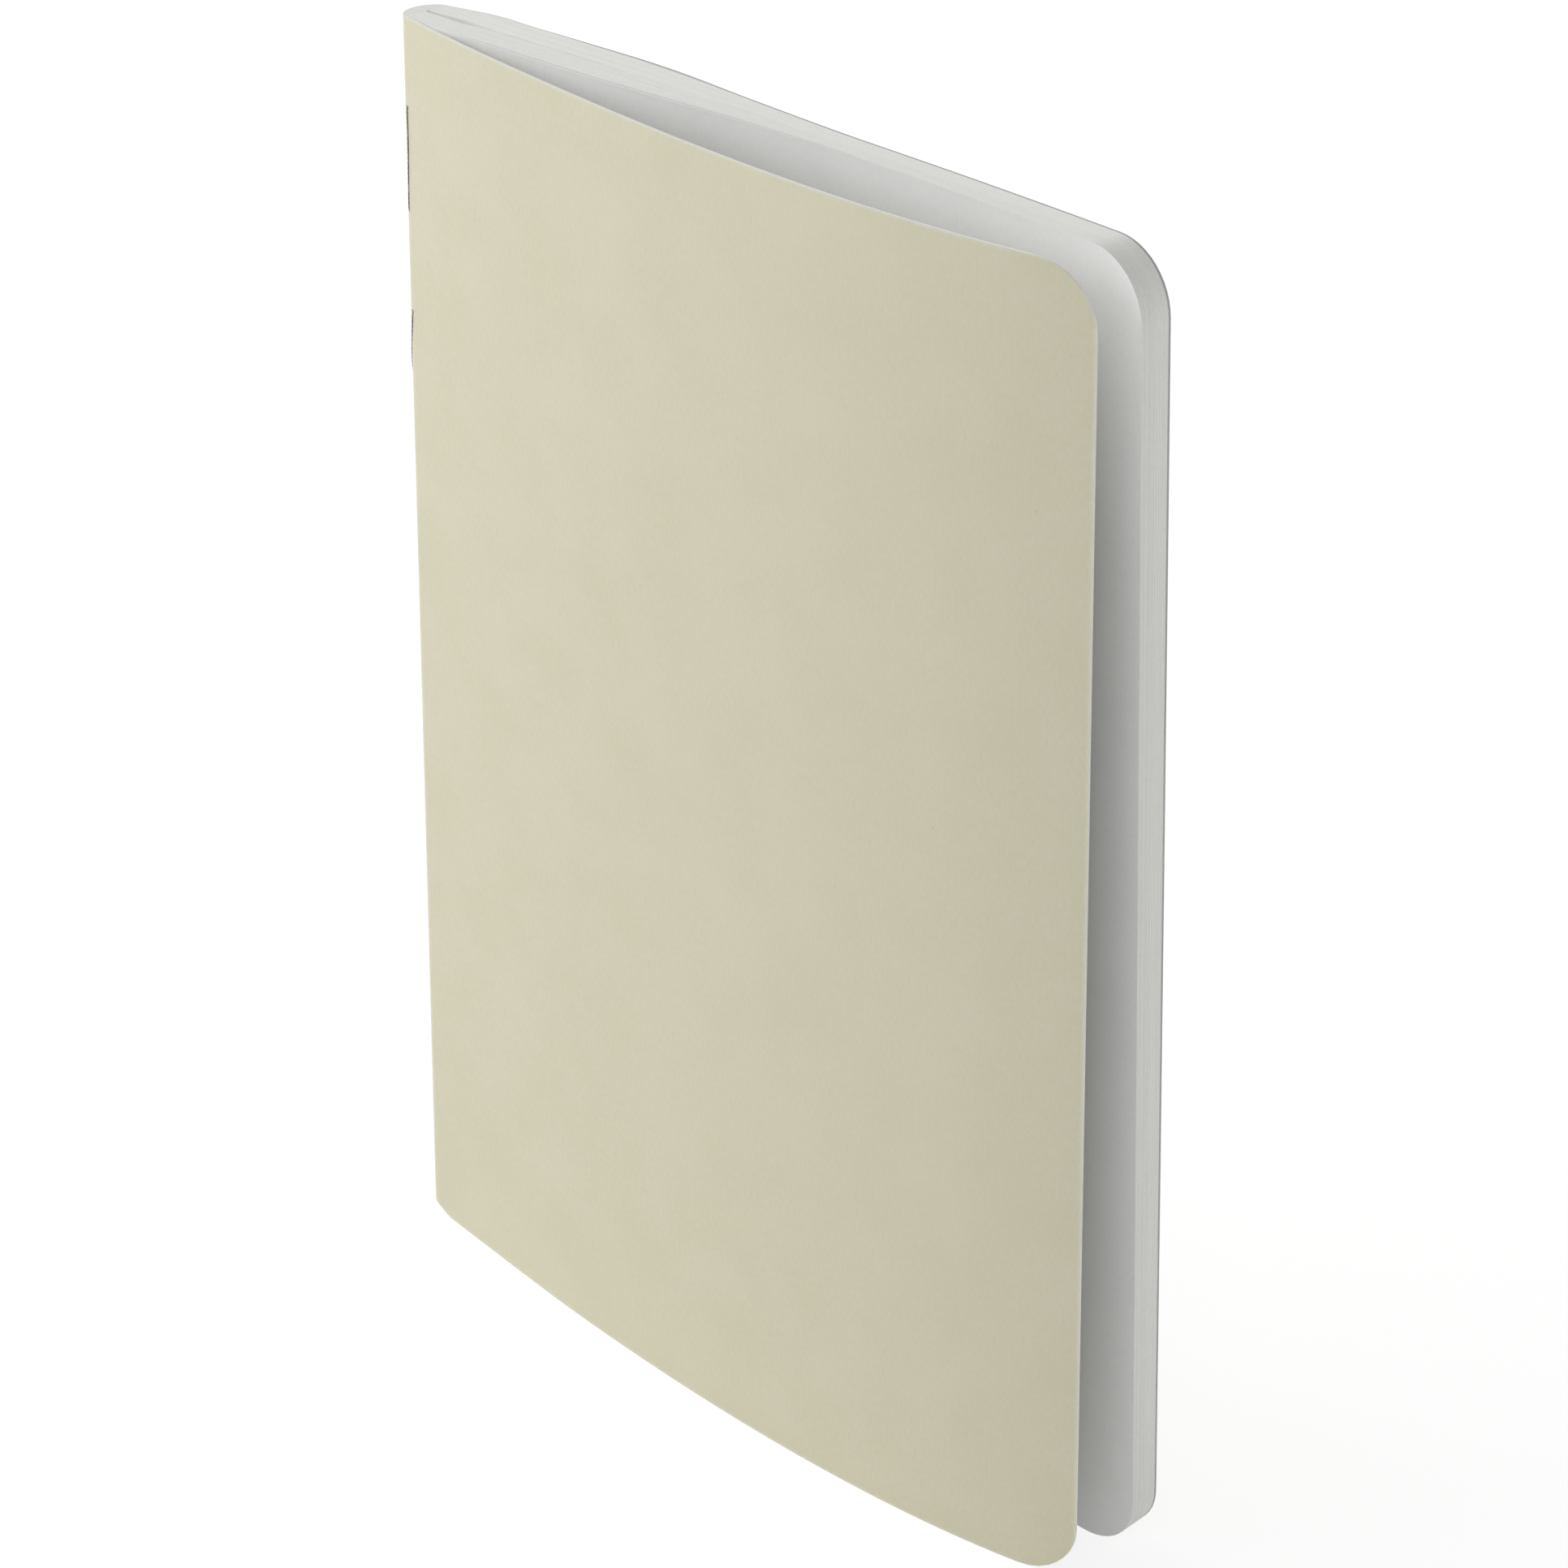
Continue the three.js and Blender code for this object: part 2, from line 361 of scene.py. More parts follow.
def make(name, tree, **values):
    """Runs a tree and keeps its result as a plain mesh at the origin."""
    piece = bpy.data.objects.new(name, bpy.data.meshes.new(name))
    bpy.context.collection.objects.link(piece)
    shape = piece.modifiers.new("shape", "NODES")
    shape.node_group = tree
    for item in tree.interface.items_tree:
        if item.in_out == "INPUT" and item.name in values:
            shape[item.identifier] = values[item.name]
    view = bpy.context.evaluated_depsgraph_get()
    mesh = bpy.data.meshes.new_from_object(piece.evaluated_get(view), depsgraph=view)
    piece.modifiers.remove(shape)
    piece.data = mesh
    mesh.name = name
    return piece


# %% [markdown]
# ## Effects that several finishes share
#
# Paper and card are both felted fibres, so the same small groups serve both. A group
# only works out a mask or a height from the flat place on the sheet. Each material
# decides what to do with it, with its own sizes.

# %% Shader groups for fibre, wear and specks
RAGGED_GAIN, RAGGED_BASE = 1.3, 0.3
SPECK_RIM = (0.6, 1.0)


def new_group(name, inputs, outputs):
    """A shader group with named inputs and outputs."""
    group = bpy.data.node_groups.new(name, "ShaderNodeTree")
    for label, value in inputs.items():
        kind = "NodeSocketVector" if value is None else "NodeSocketFloat"
        entry = group.interface.new_socket(label, in_out="INPUT", socket_type=kind)
        if value is not None:
            entry.default_value = value
    for label in outputs:
        group.interface.new_socket(label, in_out="OUTPUT", socket_type="NodeSocketFloat")
    entries = group.nodes.new("NodeGroupInput").outputs
    exits = group.nodes.new("NodeGroupOutput").inputs
    return group, {label: Number(group, entries[label]) for label in inputs}, exits


def noise(tree, place, scale, detail, stretch=(1.0, 1.0, 1.0)):
    """Noise of a place, from 0 to 1."""
    mapping = add(tree, "ShaderNodeMapping", Vector=place, Scale=stretch)
    texture = add(tree, "ShaderNodeTexNoise", Vector=mapping.outputs[0],
                  Scale=scale, Detail=detail)
    return Number(tree, texture.outputs[0])


fibre_group, given, result = new_group("paper_fibre", {"Place": None}, ("Tone", "Height"))
place = given["Place"]
felt = noise(fibre_group, place, scale=160.0, detail=4.0, stretch=(1.0, 0.55, 1.0))
strands = noise(fibre_group, place, scale=420.0, detail=2.0, stretch=(0.35, 1.0, 1.0))
cloud = noise(fibre_group, place, scale=7.0, detail=3.0)
feed(fibre_group, felt * 0.45 + strands * 0.2 + cloud * 0.35, result["Tone"])
feed(fibre_group, felt * 0.6 + strands * 0.4, result["Height"])

wear_group, given, result = new_group(
    "edge_wear", {"Place": None, "Rim Distance": 1.0, "Reach": 0.8}, ("Wear",))
ragged = noise(wear_group, given["Place"], scale=55.0, detail=4.0) * RAGGED_GAIN + RAGGED_BASE
near_rim = 1 - (given["Rim Distance"] / (given["Reach"] * ragged)).at_most(1.0)
feed(wear_group, near_rim * near_rim, result["Wear"])

speck_group, given, result = new_group(
    "card_specks", {"Place": None, "Speck Scale": 9.0, "Speck Size": 0.02}, ("Specks",))
cells = speck_group.nodes.new("ShaderNodeTexVoronoi")
feed(speck_group, given["Place"], cells.inputs["Vector"])
feed(speck_group, given["Speck Scale"], cells.inputs["Scale"])
spot = Number(speck_group, cells.outputs["Distance"]) / given["Speck Size"]
feed(speck_group, 1 - spot.smooth(*SPECK_RIM), result["Specks"])
print("shader groups:", [g.name for g in (fibre_group, wear_group, speck_group)])

# %% [markdown]
# ## Paper and card
#
# A leaf is uncoated white paper: matt, with a very fine felted surface. The cover is
# card, dyed pale cream on its outside, with a lighter core that shows at every cut
# edge. The colours are written as they should look in plain light, except on the cut
# edges of the leaves and of the back cover, which carry painted shade and painted light.

# %% Materials
FACE_RELIEF, CUT_RELIEF = 0.03 * MM, 0.02 * MM
FELT_STRENGTH, THREAD_STRENGTH = 0.6, 0.5
SPECULAR_LEVEL = 0.25
TONE_RANGE, FUZZ_RANGE, RUBBED_RANGE = (0.36, 0.64), (0.3, 0.7), (0.48, 0.62)
WEAR_SHARE, SPECK_SHARE, RUBBED_SHARE = 0.6, 0.5, 0.7
SPINE_FADE = (0.16, 0.3)  # in units of the UV map


def linear(red, green, blue):
    """A colour given as it looks on a screen, 0 to 255, as the shader wants it."""
    parts = []
    for value in (red, green, blue):
        share = value / 255
        low = share <= 0.04045
        parts.append(share / 12.92 if low else ((share + 0.055) / 1.055) ** 2.4)
    return (*parts, 1.0)


def new_material(name, colour, roughness):
    """A material with its Principled shader and its own tree."""
    material = bpy.data.materials.new(name)
    material.use_nodes = True
    tree = material.node_tree
    shader = tree.nodes["Principled BSDF"]
    shader.inputs["Base Color"].default_value = colour
    shader.inputs["Roughness"].default_value = roughness
    shader.inputs["Specular IOR Level"].default_value = SPECULAR_LEVEL
    material.diffuse_color = colour
    return material, tree, shader


def blend_colours(tree, first, second, share):
    """Mixes two colours by a mask."""
    mix = tree.nodes.new("ShaderNodeMix")
    mix.data_type = "RGBA"
    feed(tree, share, mix.inputs["Factor"])
    feed(tree, first, mix.inputs["A"])
    feed(tree, second, mix.inputs["B"])
    return mix.outputs["Result"]


def stored(tree, name):
    """A value that the geometry tree kept under a name."""
    return Number(tree, add(tree, "ShaderNodeAttribute", {"attribute_name": name}).outputs["Fac"])


def finish(tree, shader, colour, height, relief, strength):
    """Gives a shader its colour and its fine relief."""
    tree.links.new(colour, shader.inputs["Base Color"])
    bump = add(tree, "ShaderNodeBump", Height=height, Distance=relief, Strength=strength)
    tree.links.new(bump.outputs[0], shader.inputs["Normal"])


def use_group(tree, group, **values):
    """Places a shader group and returns its outputs."""
    node = tree.nodes.new("ShaderNodeGroup")
    node.node_tree = group
    for label, value in values.items():
        feed(tree, value, node.inputs[label.replace("_", " ")])
    return node.outputs


def felted(name, light, dark, roughness, relief, worn=None, specks=None, unshaded_near_spine=None):
    """Paper or card: two tones of one colour and a fine relief. Where they are asked
    for, it also has wear at the rim, specks, and an unshaded colour near the spine
    where painted shade in the two tones ends."""
    material, tree, shader = new_material(name, light, roughness)
    flat = add(tree, "ShaderNodeUVMap", {"uv_map": "flat"}).outputs[0]
    fibre = use_group(tree, fibre_group, Place=flat)
    tone = Number(tree, fibre["Tone"]).smooth(*TONE_RANGE)
    colour = blend_colours(tree, dark, light, tone)
    if worn:
        rim = stored(tree, "rim_distance")
        wear = use_group(tree, wear_group, Place=flat, Rim_Distance=rim)
        colour = blend_colours(tree, colour, worn, Number(tree, wear["Wear"]) * WEAR_SHARE)
    # Near the spine an unshaded colour takes over from the painted shade.
    if unshaded_near_spine:
        across = add(tree, "ShaderNodeSeparateXYZ", Vector=flat).outputs["X"]
        painted_shade_share = Number(tree, across).smooth(*SPINE_FADE)
        colour = blend_colours(tree, unshaded_near_spine, colour, painted_shade_share)
    if specks:
        dots = use_group(tree, speck_group, Place=flat)
        colour = blend_colours(tree, colour, specks, Number(tree, dots["Specks"]) * SPECK_SHARE)
    finish(tree, shader, colour, fibre["Height"], relief, FELT_STRENGTH)
    return material


leaf_paper = felted(
    "leaf_paper", linear(242, 242, 241), linear(238, 238, 237), 0.85, FACE_RELIEF)
# The front leaves' cut edges, also used on the folds, are a shaded copy, and the rear leaves' cut
# edges a lit copy, of one paper edge: painted shade and painted light.
leaf_cut_painted_shade = felted(
    "leaf_cut_edge_painted_shade", linear(243, 244, 239), linear(237, 238, 233), 0.9, CUT_RELIEF)
rear_leaf_cut_painted_light = felted(
    "rear_leaf_cut_edge_painted_light", linear(246, 247, 242), linear(241, 242, 237), 0.9, CUT_RELIEF)
cover_outside = felted(
    "cover_outside", linear(202, 198, 176), linear(198, 194, 170), 0.62, FACE_RELIEF,
    worn=linear(214, 213, 202), specks=linear(172, 166, 138))
cover_inside = felted(
    "cover_inside", linear(238, 238, 232), linear(233, 233, 226), 0.8, FACE_RELIEF)
cover_cut = felted(
    "cover_cut_edge", linear(240, 240, 235), linear(233, 233, 227), 0.9, CUT_RELIEF)
# The back cover's cut edge is painted shade: grey like the shaded gap beside the last leaf,
# turning to the pale core near the spine, where no shade is painted.
back_cut_painted_shade = felted(
    "back_cover_cut_edge_painted_shade", linear(186, 188, 184), linear(176, 178, 174), 0.9, CUT_RELIEF,
    unshaded_near_spine=linear(236, 237, 232))

thread_dye, tree, shader = new_material("thread_dye", linear(108, 108, 104), 0.8)
run, around = stored(tree, "thread_run"), stored(tree, "thread_around")
place = add(tree, "ShaderNodeCombineXYZ", X=run, Y=around * 1.2).outputs[0]
fuzz = noise(tree, place, scale=6.0, detail=3.0)
rubbed = noise(tree, place, scale=0.22, detail=1.0, stretch=(1.0, 0.0, 0.0))
dyed = blend_colours(tree, linear(80, 80, 77), linear(128, 128, 122), fuzz.smooth(*FUZZ_RANGE))
colour = blend_colours(tree, dyed, linear(168, 167, 156),
                       rubbed.smooth(*RUBBED_RANGE) * RUBBED_SHARE)
finish(tree, shader, colour, fuzz, FACE_RELIEF, THREAD_STRENGTH)
print("materials:", len(bpy.data.materials))

# %% [markdown]
# ## The straight part of a sheet
#
# One tree makes every leaf and the back cover, since both run from the fold's shoulder
# to the fore edge and differ only in layer, side and thickness. The columns close up
# towards the fore edge as the sine of an even angle, so the rounded corners come out
# round with few faces.

# %% Tree for a leaf or the back cover
SHEET_GRID = (50, 20)  # columns along the sheet, rows up it
CORNER_SHARE = 0.76    # share of the columns that comes before the rounded corner
LIFT_RISE, EASE_RISE = 20.0, (0.0, 30.0)


def corner_turn(along):
    """How far round the corner a column is, up to a quarter turn at the fore edge."""
    return (along - CORNER_SHARE).at_least(0.0) * (math.pi / 2 / (1 - CORNER_SHARE))


def to_rim(reach, x, z):
    """Distance from the nearest of fore edge, tail and head."""
    return (reach - x).at_most(z).at_most(PAGE_HEIGHT - z).at_least(0.0)


sheet_tree, given = new_tree(
    "sheet_half", Layer=0.0, Side=1.0, Thickness=LEAF_THICKNESS, Fullness=0.0, Stand_off=0.0,
    Ease=0.0, Lift=0.0, Lift_start=0.0, Lift_end=62.0, Lift_fall=14.0,
    Reach=FORE_REACH, Pattern_shift=0.0,
    Face_front=None, Face_rear=None, Cut_edge=None)
mesh, along, up, through, facing = slab(sheet_tree, *SHEET_GRID)
bend = corner_turn(along)
straight = given["Reach"] - CORNER_RADIUS
x = (along / CORNER_SHARE).at_most(1.0) * straight + bend.sin() * CORNER_RADIUS
inset = (1 - bend.cos()) * CORNER_RADIUS
z = inset + up * (PAGE_HEIGHT - inset * 2)
gap = spread(x, 1.0) - spread(x, 0.0) - LEAF_PITCH
thickness = given["Thickness"] + gap * given["Fullness"]
rising = x.smooth(given["Lift_start"], given["Lift_start"] + LIFT_RISE)
falling = x.smooth(given["Lift_end"] - given["Lift_fall"], given["Lift_end"])
lift = rising * (1 - falling) * given["Lift"]
off = given["Stand_off"] + lift + x.smooth(*EASE_RISE) * given["Ease"]
middle = (spread(x, given["Layer"]) + off) * given["Side"] + bow(x)
y = middle + (0.5 - through) * thickness
rim = to_rim(given["Reach"], x, z)
mesh = label_sheet(sheet_tree, mesh, x + given["Pattern_shift"], z, rim)
mesh = settle(sheet_tree, mesh, x, y, z, BLOCK_TWIST)
dress_sheet(sheet_tree, mesh, facing, given["Face_front"], given["Face_rear"], given["Cut_edge"])
print("sheet tree:", len(sheet_tree.nodes), "nodes")

# %% [markdown]
# ## The fold of a sheet
#
# A fold is half an ellipse in plan, from the rear shoulder round the back of the spine
# to the front shoulder. It is a piece of its own, because this is where the sheet
# really bends when the notebook opens. The card's fold leaves its ellipse a little
# early on the front side and goes on straight, towards the front panel. Twelve needle
# holes go through each fold: short round prisms lie on a row of points and a Mesh
# Boolean node takes them away.

# %% Tree for a fold
FOLD_GRID = (28, 20)
HOLE_COUNT, HOLE_PITCH, FIRST_HOLE = 12, 16.5, 14.25
HOLE_RADIUS, NEEDLE_LENGTH, NEEDLE_SIDES = 0.4, 1.6, 10
# The seam sways by a small angle, with a crest at one height, and steps to the front
# between two heights.
SEAM_WANDER, SEAM_CREST, SEAM_STEP = math.radians(4.0), 192.0, (146.0, 165.0)


def fold_point(depth, half, turn):
    """A place on a fold: turn 0 is the middle of the spine, plus leads to the front."""
    return turn.cos() * depth * -1, turn.sin() * half * -1


def seam_turn(z, given):
    """Where on the fold the seam runs at a height: hand sewn, it wanders to the front."""
    wander = ((z - SEAM_CREST) * (math.pi / HOLE_PITCH)).cos() * SEAM_WANDER
    rise = z.smooth(*SEAM_STEP) * (given["Turn_high"] - given["Turn_low"])
    return rise + given["Turn_low"] + wander


fold_tree, given = new_tree(
    "sheet_fold", Depth=1.0, Half_width=1.0, Thickness=LEAF_THICKNESS, Shoulder_fill=0.0,
    Leaving_turn=math.pi / 2, Turn_low=0.0, Turn_high=0.0,
    Outside=None, Inside=None, Cut_edge=None)
mesh, along, up, through, facing = slab(fold_tree, *FOLD_GRID)
turn = (along - 0.5) * math.pi
side_share = turn.sin() * turn.sin()
thickness = given["Thickness"] + side_share * given["Shoulder_fill"]
outward = (through - 0.5) * thickness
depth, half = given["Depth"] + outward, given["Half_width"] + outward
arc = turn.at_most(given["Leaving_turn"])
x, _ = fold_point(depth, half, turn)
arc_x, arc_y = fold_point(depth, half, arc)
y = arc_y - (x - arc_x) * (arc.cos() / arc.sin() * half / depth) + x * BOW_SLOPE
z = up * PAGE_HEIGHT
across = turn * given["Half_width"] * -1.0
mesh = label_sheet(fold_tree, mesh, across, z, z.at_most(PAGE_HEIGHT - z).at_least(0.0))
mesh = move_to(fold_tree, mesh, x, y, z)

needle = add(fold_tree, "GeometryNodeMeshCylinder", Vertices=NEEDLE_SIDES,
             Radius=HOLE_RADIUS, Depth=NEEDLE_LENGTH)
lying = add(fold_tree, "GeometryNodeTransform", Geometry=needle.outputs["Mesh"],
            Rotation=(0.0, math.pi / 2, 0.0))
line = add(fold_tree, "GeometryNodeMeshLine", Count=HOLE_COUNT,
           Start_Location=(0.0, 0.0, FIRST_HOLE), Offset=(0.0, 0.0, HOLE_PITCH))
_, _, hole_z = own_place(fold_tree)
hole_turn = seam_turn(hole_z, given)
hole_x, hole_y = fold_point(given["Depth"], given["Half_width"], hole_turn)
row = move_to(fold_tree, line.outputs[0], hole_x, hole_y, hole_z)
aim = add(fold_tree, "ShaderNodeCombineXYZ", Z=hole_turn)
needles = add(fold_tree, "GeometryNodeInstanceOnPoints", Points=row,
              Instance=lying.outputs[0], Rotation=aim.outputs[0])
solid = add(fold_tree, "GeometryNodeRealizeInstances", Geometry=needles.outputs[0])
pierce = add(fold_tree, "GeometryNodeMeshBoolean",
             {"operation": "DIFFERENCE", "solver": "MANIFOLD"},
             Mesh_1=mesh, Mesh_2=solid.outputs[0])
x, y, z = own_place(fold_tree)
mesh = settle(fold_tree, pierce.outputs["Mesh"], x, y, z, BLOCK_TWIST)
dress_sheet(fold_tree, mesh, facing, given["Outside"], given["Inside"], given["Cut_edge"])
print("fold tree:", len(fold_tree.nodes), "nodes")

# %% [markdown]
# ## The front cover
#
# Card keeps a memory of being opened, so the front cover leaves the fold in one long
# curve that never turns back. Four control points of a Bezier curve hold that shape.
# Its first handle follows the slope at which the fold ends, so no line shows between
# the two pieces, and the columns are closest there, because the hinge is there.

# %% Tree for the front cover
COVER_GRID = (64, 28)
START = (0.0, -card_half / math.sin(leaving_turn))
END = (144.8, -11.12)
FIRST_HANDLE = 13.9
LEAVE, ARRIVE = (FIRST_HANDLE, FIRST_HANDLE * LEAVING_SLOPE), (-48.1, -12.0)
CORNER_CURVE = 0.16        # share of the curve that the corner's columns take up
TWIST_CHANGE = (0.0, 40.0)
cover_tree, given = new_tree(
    "front_cover_panel", Thickness=CARD_THICKNESS, Outside=None, Inside=None, Cut_edge=None)
mesh, along, up, through, facing = slab(cover_tree, *COVER_GRID)
straight = (along / CORNER_SHARE).at_most(1.0) * (1 - CORNER_CURVE)
share = straight + corner_turn(along).sin() * CORNER_CURVE
left = 1 - share


def bezier(axis):
    """One coordinate of the cover's middle, at a share of the way along the curve."""
    first, second = START[axis], START[axis] + LEAVE[axis]
    third, last = END[axis] + ARRIVE[axis], END[axis]
    return (left * left * left * first + left * left * share * (3 * second)
            + left * share * share * (3 * third) + share * share * share * last)


x, middle = bezier(0), bezier(1)
past = (x - (END[0] - CORNER_RADIUS)).at_least(0.0)
inset = CORNER_RADIUS - (CORNER_RADIUS ** 2 - past * past).at_least(0.0).calc("SQRT")
z = inset + up * (PAGE_HEIGHT - inset * 2)
y = middle + (0.5 - through) * given["Thickness"]
mesh = label_sheet(cover_tree, mesh, x * -1, z, to_rim(END[0], x, z))
twist = x.smooth(*TWIST_CHANGE) * (COVER_TWIST - BLOCK_TWIST) + BLOCK_TWIST
mesh = settle(cover_tree, mesh, x, y, z, twist)
dress_sheet(cover_tree, mesh, facing, given["Outside"], given["Inside"], given["Cut_edge"])
print("front cover tree:", len(cover_tree.nodes), "nodes")

# %% [markdown]
# ## Putting the leaves in
#
# Leaf 1 is the outermost at the front, and leaf 32 the outermost at the rear: the two
# halves of one sheet. A leaf rides stiffly on its own body. The visual leaf is a touch
# fuller than a calm sheet where the block swells, as handled paper never lies flat.

# %% Leaves


def row_point(x, y):
    """A point of the notebook's plan in the frame of the CAD model, in metres."""
    return ((x + FOLD_CENTRE[0]) * MM, (y + FOLD_CENTRE[1]) * MM, 0.0)


# Leaf 1 shares its body with the front half of the spine fold, leaf 32 with the back cover.
LEAF_BODIES = {1: "first_leaf", 2 * SHEET_COUNT: "back_cover"}
# How much of its room a leaf fills where the block swells. A few leaves are slacker.
FULLNESS, SLACK_FULLNESS, SLACK_CHANCE = 0.96, 0.6, 0.16
TRIM_PLAY = 0.04       # how uneven the trimmed fore edge is
PATTERN_STEP = 61.7    # moves the pattern of the paper on from leaf to leaf
FIRST_LEAF_LIFT = 0.4  # how far the first leaf stands off its neighbour
rng = random.Random(16)


def leaf_body(number):
    """The body of the CAD model that a leaf rides on."""
    return LEAF_BODIES.get(number, f"leaf_{number:02d}")


for number in range(1, 2 * SHEET_COUNT + 1):
    front = number <= SHEET_COUNT
    layer = SHEET_COUNT - number if front else number - SHEET_COUNT - 1
    leaf = make(f"paper_leaf_{number:02d}", sheet_tree, Layer=float(layer),
                Side=-1.0 if front else 1.0,
                Fullness=FULLNESS if rng.random() > SLACK_CHANCE else SLACK_FULLNESS,
                Lift=FIRST_LEAF_LIFT if number == 1 else 0.0,
                Lift_start=4.0, Lift_end=125.0, Lift_fall=70.0,
                Reach=FORE_REACH - rng.uniform(0.0, TRIM_PLAY),
                Pattern_shift=PATTERN_STEP * number,
                Face_front=leaf_paper, Face_rear=leaf_paper,
                Cut_edge=leaf_cut_painted_shade if front else rear_leaf_cut_painted_light)
    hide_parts(f"leaf_{number:02d}")
    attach(leaf, leaf_body(number))
print("leaf faces:", len(leaf.data.polygons))

# %% [markdown]
# ## Putting the folds in
#
# Each fold joins the two leaves of its sheet. Its ends lie exactly at the shoulders
# of the two leaves.

# %% Folds of the sheets
for sheet in range(1, SHEET_COUNT + 1):
    layer = SHEET_COUNT - sheet
    half = shoulder(layer)
    fold = make(f"sheet_fold_{sheet:02d}", fold_tree, Depth=FIRST_APEX + APEX_PITCH * layer,
                Half_width=half, Shoulder_fill=FULLNESS * SHOULDER_SWELL,
                Outside=leaf_paper, Inside=leaf_paper, Cut_edge=leaf_cut_painted_shade)
    row_point(0.0, half)
    row_point(0.0, -half)
    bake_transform(fold)
print("fold faces:", len(fold.data.polygons))

# %% [markdown]
# ## Putting the cover on
#
# The cover is one folded card. Its back panel is the part that stays still. The fold
# round the spine and the front panel are made in their rest shape, the front panel
# leaving the fold just in front of the spine.

# %% Cover
back_panel = make("cover_back_panel", sheet_tree, Layer=SHEET_COUNT - 1.0, Side=1.0,
                  Thickness=CARD_THICKNESS, Stand_off=CARD_CLEARANCE,
                  Ease=0.05, Lift=0.3, Lift_start=24.0, Lift_end=62.0,
                  Face_front=cover_inside, Face_rear=cover_outside, Cut_edge=back_cut_painted_shade)
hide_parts("back_cover")
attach(back_panel, "back_cover")

SEAM_LOW, SEAM_HIGH = math.radians(28.0), math.radians(73.0)
spine = make("cover_spine_fold", fold_tree, Depth=CARD_APEX, Half_width=card_half,
             Thickness=CARD_THICKNESS, Leaving_turn=leaving_turn,
             Turn_low=SEAM_LOW, Turn_high=SEAM_HIGH,
             Outside=cover_outside, Inside=cover_inside, Cut_edge=cover_cut)
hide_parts("cover_spine_front")
row_point(0.0, card_half)
row_point(0.0, -card_half)
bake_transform(spine)

front_panel = make("cover_front_panel", cover_tree,
                   Outside=cover_outside, Inside=cover_inside, Cut_edge=cover_cut)
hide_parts("front_cover")
row_point(1.0, -4.4)
row_point(6.0, -4.4)
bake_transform(front_panel)
print("front panel faces:", len(front_panel.data.polygons))

# %% [markdown]
# ## The thread
#
# One thread goes in and out of the fold through the twelve holes, so short dashes show
# on the spine with gaps as long between them. A stitch is a curve with rounded ends
# that is repeated by instances, laid onto the spine by the same ellipse as the fold,
# and swept with a three-lobed section that turns as it goes: three plies. The runs
# inside, in the gutter, are made the same way.

# %% Tree for a row of stitches
THREAD_RADIUS = 0.17
PLY_COUNT, PLY_TURN = 3, 2.6  # plies, and radians that they turn in a millimetre
LOBE_MIDDLE, LOBE_DEPTH = 0.9, 0.16
# The rounding of a stitch at its holes, and the length of each of its faces.
STITCH_CORNER, STITCH_STEP = 0.45, 0.16
stitch_tree, given = new_tree(
    "stitch_row", Depth=1.0, Half_width=1.0, First_hole=FIRST_HOLE, Count=5.0,
    Rise=0.2, Sink=-1.5, Turn_low=0.0, Turn_high=0.0, Thread=None)
outline = stitch_tree.nodes.new("GeometryNodeCurvePrimitiveQuadrilateral")
outline.mode = "POINTS"
for label, height, reach in (("Point 1", 0.0, "Sink"), ("Point 2", 0.0, "Rise"),
                             ("Point 3", HOLE_PITCH, "Rise"), ("Point 4", HOLE_PITCH, "Sink")):
    corner = add(stitch_tree, "ShaderNodeCombineXYZ", X=given[reach], Z=height)
    stitch_tree.links.new(corner.outputs[0], outline.inputs[label])
opened = add(stitch_tree, "GeometryNodeSetSplineCyclic", Geometry=outline.outputs[0])
rounded = add(stitch_tree, "GeometryNodeFilletCurve", {"mode": "POLY"},
              Curve=opened.outputs[0], Count=5, Radius=STITCH_CORNER)
even = add(stitch_tree, "GeometryNodeResampleCurve", {"mode": "LENGTH"},
           Curve=rounded.outputs[0], Length=STITCH_STEP)
origin = add(stitch_tree, "ShaderNodeCombineXYZ", Z=given["First_hole"])
holes = add(stitch_tree, "GeometryNodeMeshLine", Count=given["Count"],
            Offset=(0.0, 0.0, 2 * HOLE_PITCH))
stitch_tree.links.new(origin.outputs[0], holes.inputs["Start Location"])
copies = add(stitch_tree, "GeometryNodeInstanceOnPoints", Points=holes.outputs[0],
             Instance=even.outputs[0])
real = add(stitch_tree, "GeometryNodeRealizeInstances", Geometry=copies.outputs[0])
rise, _, z = own_place(stitch_tree)
marked = store(stitch_tree, real.outputs[0], "thread_run", z + rise)
turn = seam_turn(z, given)
x, y = fold_point(given["Depth"], given["Half_width"], turn)
lean_x, lean_y = turn.cos() / given["Depth"], turn.sin() / given["Half_width"]
length = (lean_x * lean_x + lean_y * lean_y).calc("SQRT")
x = x - lean_x / length * rise
y = y - lean_y / length * rise + x * BOW_SLOPE
laid = settle(stitch_tree, marked, x, y, z, BLOCK_TWIST)
spline = add(stitch_tree, "GeometryNodeSplineParameter").outputs
plied = add(stitch_tree, "GeometryNodeSetCurveTilt", Curve=laid,
            Tilt=Number(stitch_tree, spline["Length"]) * (PLY_TURN / MM))
ring = add(stitch_tree, "GeometryNodeCurvePrimitiveCircle", {"mode": "RADIUS"}, Resolution=12)
ring.inputs["Radius"].default_value = THREAD_RADIUS * MM
around = Number(stitch_tree, spline["Factor"])
lobes = (around * (2 * math.pi * PLY_COUNT)).cos() * LOBE_DEPTH + LOBE_MIDDLE
ply = add(stitch_tree, "ShaderNodeVectorMath", {"operation": "SCALE"}, Scale=lobes)
stitch_tree.links.new(add(stitch_tree, "GeometryNodeInputPosition").outputs[0], ply.inputs[0])
section = add(stitch_tree, "GeometryNodeSetPosition", Geometry=ring.outputs[0],
              Position=ply.outputs[0])
section = store(stitch_tree, section.outputs[0], "thread_around", around)
cord = add(stitch_tree, "GeometryNodeCurveToMesh", Curve=plied.outputs[0],
           Profile_Curve=section, Fill_Caps=True)
dress(stitch_tree, cord.outputs[0], ((given["Thread"], None),))
print("stitch tree:", len(stitch_tree.nodes), "nodes")

